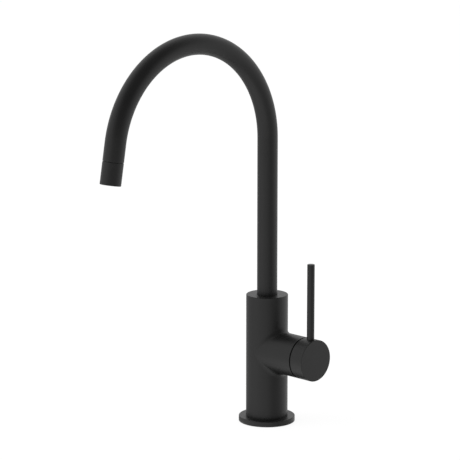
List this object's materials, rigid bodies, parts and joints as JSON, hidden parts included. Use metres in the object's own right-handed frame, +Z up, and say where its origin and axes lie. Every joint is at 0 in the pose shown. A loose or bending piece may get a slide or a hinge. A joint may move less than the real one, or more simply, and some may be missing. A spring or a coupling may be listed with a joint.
{
  "type": "gooseneck sink mixer",
  "caption": "Matte black deck-mounted sink mixer with a round column, a swivelling gooseneck spout with an aerator and a side pin lever that sets flow and temperature.",
  "frame": {"origin": "on the column's axis, in the plane of the deck under the flange", "axes": "+Z up the column, the spout reaches along -Y at rest and the handle branch along +X"},
  "size_m": [0.106, 0.2721, 0.4421],
  "materials": {
    "black_finish": "matte",
    "brass": "satin",
    "rubber": "matte",
    "cartridge_plastic": "matte",
    "aerator_plastic": "matte",
    "ceramic": "gloss",
    "steel": "satin"
  },
  "bodies": {
    "column": {"column_body": "black_finish", "inlet_base": "brass", "base_flange": "black_finish", "deck_seal": "rubber", "spout_thrust_ring": "cartridge_plastic", "spout_screw": "steel", "cartridge_base": "cartridge_plastic", "cartridge_seals": "rubber", "cartridge_housing": "cartridge_plastic", "fixed_disc": "ceramic", "cartridge_nut": "brass", "bonnet": "black_finish"},
    "spout": {"spout_tube": "black_finish", "spout_spigot": "brass", "spout_o_rings": "rubber", "spout_slip_ring": "cartridge_plastic", "outlet_nipple": "black_finish", "aerator_housing": "black_finish", "aerator_seal": "rubber", "aerator_insert": "aerator_plastic"},
    "turret": {"cartridge_turret": "cartridge_plastic", "pivot_pin": "steel"},
    "handle": {"cartridge_stem": "steel", "handle_cap": "black_finish", "lever_pin": "black_finish", "handle_screw": "steel"},
    "disc": {"moving_disc": "ceramic", "disc_carrier": "cartridge_plastic"}
  },
  "joints": [
    {"name": "spout_swivel", "type": "hinge", "parent": "column", "child": "spout", "pos_m": [0, 0, 0.144], "axis": [0, 0, 1], "continuous": true},
    {"name": "temperature", "type": "hinge", "parent": "column", "child": "turret", "pos_m": [0.0414, 0, 0.0815], "axis": [1, 0, 0], "range_deg": [-50, 50]},
    {"name": "flow", "type": "hinge", "parent": "turret", "child": "handle", "pos_m": [0.0414, 0, 0.0815], "axis": [0, 1, 0], "range_deg": [0, 18]},
    {"name": "disc_slide", "type": "slide", "parent": "turret", "child": "disc", "axis": [0, 0, 1], "range_m": [0, 0.00311]}
  ],
  "couplings": [
    {"joint": "disc_slide", "follows": "flow", "m_per_rad": 0.009738}
  ]
}
